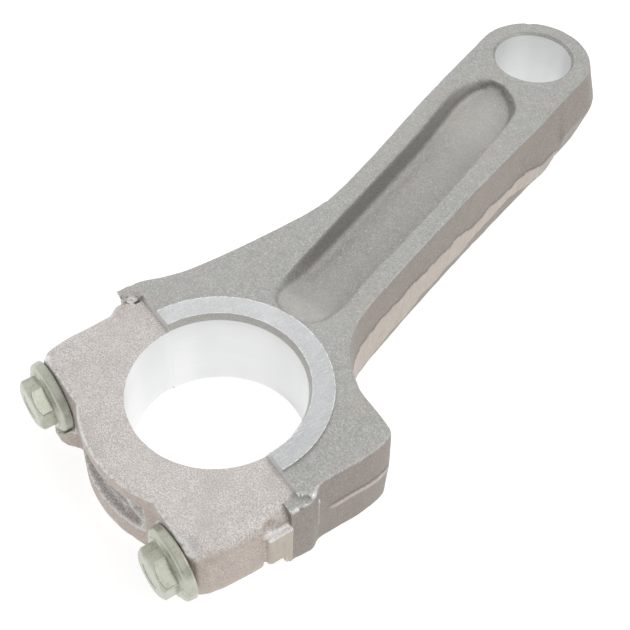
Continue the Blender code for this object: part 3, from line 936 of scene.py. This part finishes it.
def machine_cap(cap):
    """Half bore, the joint between the lugs, and the bolt holes with their spot faces."""
    cut(cap, turned("bore", [(CRANK_R, -12.0), (CRANK_R, 12.0)], BORE_SIDES))
    above = ((-CLEAR_U, 6.0), (CLEAR_U, 6.0), (CLEAR_U, LUG_V - SEAM), (LUG_U[1] - SEAM, LUG_V - SEAM),
             (LUG_U[1] - SEAM, -SEAM), (LUG_U[0] + SEAM, -SEAM), (LUG_U[0] + SEAM, -3.2),
             (-CLEAR_U, -6.45))
    cut(cap, in_split("joint", above, -CLEAR_Z, CLEAR_Z))
    corner = ((-29.7, -2.3), (-28.3, -2.3), (-28.3, -0.9), (-29.7, -0.9))
    cut(cap, in_split("open_corner", corner, 7.0, 12.0))
    for u, seat in zip(BOLT_U, SEAT_V):
        cut(cap, along_split(turned("hole", [(HOLE_R, -32.0), (HOLE_R, 3.0)], 48), u))
        spot = turned("spot", [(SPOT_R, -8.0), (SPOT_R, -0.02)], 64)
        cut(cap, along_split(spot, u, seat))


def make_cap(blasted, milled, bored, drilled):
    cap = rough_cap()
    machine_cap(cap)
    add_cap_masks(cap.data)

    def bore_faces(centre, facing):
        reach, inward = from_axis(centre, facing)
        return (reach < CRANK_R + 0.08) & (inward > 0.9)

    def joint_faces(centre, facing):
        _, v, toward = in_split_frame(centre, facing)
        return (abs(v + SEAM) < 0.03) & (toward > 0.9)

    def hole_faces(centre, facing):
        u, v, _ = in_split_frame(centre, facing)
        return in_bolt_hole(u, centre[:, 2]) & (v < -SEAM - 0.02)

    def seat_faces(centre, facing):
        u, v, toward = in_split_frame(centre, facing)
        flat = np.zeros(len(centre), bool)
        for bolt, seat in zip(BOLT_U, SEAT_V):
            around = np.hypot(u - bolt, centre[:, 2]) < SPOT_R + 0.05
            flat |= around & (abs(v - seat + 0.02) < 0.05)
        return flat & (toward < -0.95)

    paint(cap, (blasted, milled, bored, drilled),
          ((2, bore_faces), (1, joint_faces), (3, hole_faces), (1, seat_faces)))
    finish_piece(cap, "cap", "bearing_cap")


def add_cap_masks(mesh):
    """Where the cap has trimmed tab sides, rougher sides and recess, worn edges, painted shade on its
    sides and painted highlights on its edges.
    """
    co, out = vertices(mesh), normals(mesh)
    x, y, z = co.T
    u, v = rod_to_split(x, y)
    reach = np.hypot(x, y)
    upright = step(1 - abs(out[:, 2]), 0.35, 0.8)
    outer = step(abs(u), 26.0, 28.5)
    tab = step(abs(u), 30.6, 31.1) * step(v, -8.9, -8.4) * (1 - step(abs(z), 6.4, 6.9))
    low_side = 0.6 * (1 - step(z, -4.2, -1.5)) * outer
    add_mask(mesh, "land", np.maximum(tab, low_side) * upright)
    bow = step(reach, CAP_ARC_R - 0.9, CAP_ARC_R - 0.3)
    # the sides, which the material darkens partly as painted shade
    add_mask(mesh, "side", upright * np.maximum(outer, bow))

    # grit in the recess, up to the rib
    in_recess = step(reach, RECESS_R - 1.0, RECESS_R - 0.6) * (1 - step(abs(z), 4.3, 5.0))
    bearing = np.degrees(np.arctan2(v, u)) - RIDGE_START[0]
    past_rib = bearing - RIDGE_RUN[0] * (z - RIDGE_START[1]) / RIDGE_RUN[1]
    in_recess *= 1 - step(past_rib, -1.0, 1.0)
    in_recess *= 1 - step(reach, CAP_ARC_R - 1.0, CAP_ARC_R - 0.5)
    add_mask(mesh, "grit", 0.6 * in_recess * (abs(u) < 19) * (v < -12))
    for absent in ("painted_shade", "pale_and_painted_light"):
        add_mask(mesh, absent, np.zeros(len(co)))

    # rubbed bright: the corners; given a painted highlight: the top of the tab and the rounded edges
    # towards the bolts
    shelf_top = (u > 29.0) * (v > -9.0) * (abs(z - TAB_TOP) < 0.5)
    add_mask(mesh, "polish_and_highlight", 0.6 * shelf_top)
    # painted highlight along the rounded front edge and the seat edges
    rounded_edge_highlight = step(out[:, 2], 0.2, 0.5) * (1 - step(out[:, 2], 0.86, 0.97))
    seat = np.where(u < 0, SEAT_V[0], SEAT_V[1])
    rounded_edge_highlight *= np.maximum(bow * (abs(u) < 17), 1 - step(v - seat, 0.9, 1.9)) * (v < -14)
    bright_edges = step(convexity(mesh, CAP_VOXEL, 1), 0.05, 0.2)
    add_mask(mesh, "edge", np.maximum(bright_edges, rounded_edge_highlight) * (reach > CRANK_R + 0.6))


# -------- bolts
def thread():
    """Helical thread as a closed grid, running out at both ends."""
    segments = 48
    length = BOLT_LENGTH - THREAD_START
    levels = np.arange(0.0, length + 1e-6, 0.1)
    rings = []
    for level in levels:
        ring = []
        for k in range(segments):
            phase = (level / THREAD_PITCH - k / segments) % 1.0
            flank = min(1.0, max(0.0, abs(phase - 0.5) * 2.6 - 0.15))
            radius = THREAD_R - THREAD_DEPTH * (1 - flank)
            fade = min(1.0, (length - level) / 1.2, level / 0.6 + 0.15)
            radius = THREAD_END_R + (radius - THREAD_END_R) * max(0.12, fade)
            a = 2 * math.pi * k / segments
            ring.append((radius * math.cos(a), radius * math.sin(a), THREAD_START + level))
        rings.append(ring)
    return loft("thread", rings)


def hex_head(turn_deg):
    """Hex with rounded edges and a crowned, dished top."""
    corner = HEX_FLATS / math.sqrt(3)
    corners = [(corner * math.cos(math.radians(60 * k + 30)),
                corner * math.sin(math.radians(60 * k + 30))) for k in range(6)]
    head = prism("hex", corners, -HEAD_HEIGHT, -2.0)
    crown = turned("crown", [(4.3, -HEAD_HEIGHT), (4.7, -HEAD_HEIGHT + 0.18),
                             (5.43, -HEAD_HEIGHT + 0.7), (5.43, -1.0)], 96)
    combine(head, crown, "INTERSECT")
    mod = head.modifiers.new("round", "BEVEL")
    mod.width = 0.12
    mod.segments = 1
    mod.limit_method = "ANGLE"
    mod.angle_limit = math.radians(28)
    apply_modifiers(head)
    dish = turned("dish", [(2.6, -HEAD_HEIGHT - 0.5), (2.6, -HEAD_HEIGHT + 0.06),
                           (2.3, -HEAD_HEIGHT + 0.12)], 48)
    cut(head, dish)
    head.data.transform(Matrix.Rotation(math.radians(turn_deg), 4, "Z"))
    return head


def make_bolt(hand, u, seat, turn_deg, zinc):
    """Hex flange bolt; it is drawn about Z, the seat at z = 0 and the head below."""
    profile = [(0.8, -3.4), (4.4, -3.4), (4.5, -2.85), (6.15, -2.72), (6.25, -2.5), (7.1, -2.2),
               (7.4, -2.02), (7.58, -1.75), (FLANGE_R - 0.05, -0.8), (FLANGE_R, -0.5),
               (FLANGE_R - 0.06, -0.3), (FLANGE_R - 0.25, -BOLT_GAP), (SHANK_R + 0.5, -BOLT_GAP),
               (SHANK_R, 0.1), (SHANK_R, THREAD_START + 0.2), (2.9, THREAD_START + 0.6)]
    bolt = turned("flange_bolt_" + hand, profile, 128)
    join(bolt, hex_head(turn_deg))
    join(bolt, thread())
    along_split(bolt, u, seat)
    bolt.data.materials.clear()
    bolt.data.materials.append(zinc)
    finish_piece(bolt, "bolt_" + hand, "cap_bolt_" + hand, sharp_deg=9)


# -------- stage
def area_light(name, where, size, power):
    """Round lamp at a place in metres, turned towards the middle of the part."""
    data = bpy.data.lights.new(name, "AREA")
    data.shape = "DISK"
    data.size = size
    data.energy = power
    lamp = bpy.data.objects.new(name, data)
    bpy.context.scene.collection.objects.link(lamp)
    lamp.location = where
    lamp.rotation_mode = "QUATERNION"
    lamp.rotation_quaternion = (-Vector(where)).to_track_quat("-Z", "Y")


def studio_world():
    """Soft white studio: bright overhead and behind the part, dimmer towards the front right."""
    world = bpy.data.worlds.new("studio")
    world.use_nodes = True
    tree = world.node_tree
    direction = tree.nodes.new("ShaderNodeTexCoord").outputs["Generated"]
    toward = tree.nodes.new("ShaderNodeVectorMath")
    toward.operation = "DOT_PRODUCT"
    tree.links.new(direction, toward.inputs[0])
    toward.inputs[1].default_value = (-0.45, 0.55, 0.7)
    spread = tree.nodes.new("ShaderNodeMapRange")
    for socket, value in (("From Min", -0.6), ("From Max", 0.8), ("To Min", WORLD_DIM),
                          ("To Max", WORLD_BRIGHT)):
        spread.inputs[socket].default_value = value
    tree.links.new(toward.outputs["Value"], spread.inputs["Value"])
    background = tree.nodes["Background"]
    background.inputs["Color"].default_value = (1.0, 1.0, 1.0, 1.0)
    tree.links.new(spread.outputs[0], background.inputs["Strength"])
    bpy.context.scene.world = world


def make_stage():
    bm = bmesh.new()
    bmesh.ops.create_grid(bm, x_segments=8, y_segments=8, size=FLOOR_HALF)
    floor = mesh_object("floor", bm)
    g = Graph("pale_floor", 0.0, 0.2)
    cloud = g.noise(60.0, 2.0)
    colour = g.mix(g.ramp(cloud, 0.3, 0.7), (0.5, 0.5, 0.495), (0.52, 0.52, 0.52))
    g.shader.inputs["Emission Color"].default_value = (1.0, 1.0, 1.0, 1.0)
    g.shader.inputs["Emission Strength"].default_value = 0.7
    g.done(colour, g.ramp(cloud, 0.0, 1.0, 0.7, 0.8), g.bump(cloud, 0.05, 0.05))
    floor.data.materials.append(g.material)
    studio_world()
    for name, where, size, power in LAMPS:
        area_light(name, where, size, power)
    bpy.context.scene.view_settings.view_transform = "Standard"


def make_camera():
    """Long-lens view from the lower right, about fifty degrees above the floor."""
    azimuth, elevation, roll = math.radians(33.259), math.radians(49.595), math.radians(2.371)
    distance, aside, aloft = 239.902, 19.2027, 14.9017
    back = Vector((math.sin(azimuth) * math.cos(elevation),
                   -math.cos(azimuth) * math.cos(elevation), math.sin(elevation)))
    right = Vector((math.cos(azimuth), math.sin(azimuth), 0.0))
    up = back.cross(right)
    c, s = math.cos(roll), math.sin(roll)
    across, upward = c * right + s * up, -s * right + c * up
    target = Vector((0.0, 0.0, 9.0345))
    place = target + across * aside + upward * aloft + back * distance
    data = bpy.data.cameras.new("camera")
    data.sensor_width = 36.0
    data.lens = 70.3117
    data.shift_x = -0.0005
    data.shift_y = -0.0002
    data.clip_start = 0.01
    camera = bpy.data.objects.new("camera", data)
    bpy.context.scene.collection.objects.link(camera)
    pose = Matrix((across, upward, back)).transposed().to_4x4()
    pose.translation = place * MM + ORIGIN
    camera.matrix_world = pose
    bpy.context.scene.camera = camera


# -------- build
# the side tints darken the sides, partly as painted shade
cast = cast_material("cast_aluminium_skin", dark=(0.355, 0.355, 0.335),
                     light=(0.55, 0.545, 0.525), side_tint_and_shade=(0.62, 0.54, 0.5),
                     land_tint=(0.5, 0.435, 0.385), grain_mm=0.34, sparkle=0.35)
blasted = cast_material("blasted_aluminium_skin", dark=(0.46, 0.43, 0.415),
                        light=(0.82, 0.775, 0.745), side_tint_and_shade=(0.75, 0.68, 0.63),
                        land_tint=(0.49, 0.43, 0.365), grain_mm=0.3, sparkle=0.6)
milled, bored, drilled = milled_material(), bored_material(), drilled_material()
zinc = zinc_material()

make_rod(cast, milled, bored, drilled)
make_cap(blasted, milled, bored, drilled)
for hand, u, seat, turn_deg in zip(("left", "right"), BOLT_U, SEAT_V, HEX_TURN):
    make_bolt(hand, u, seat, turn_deg, zinc)
make_stage()
make_camera()
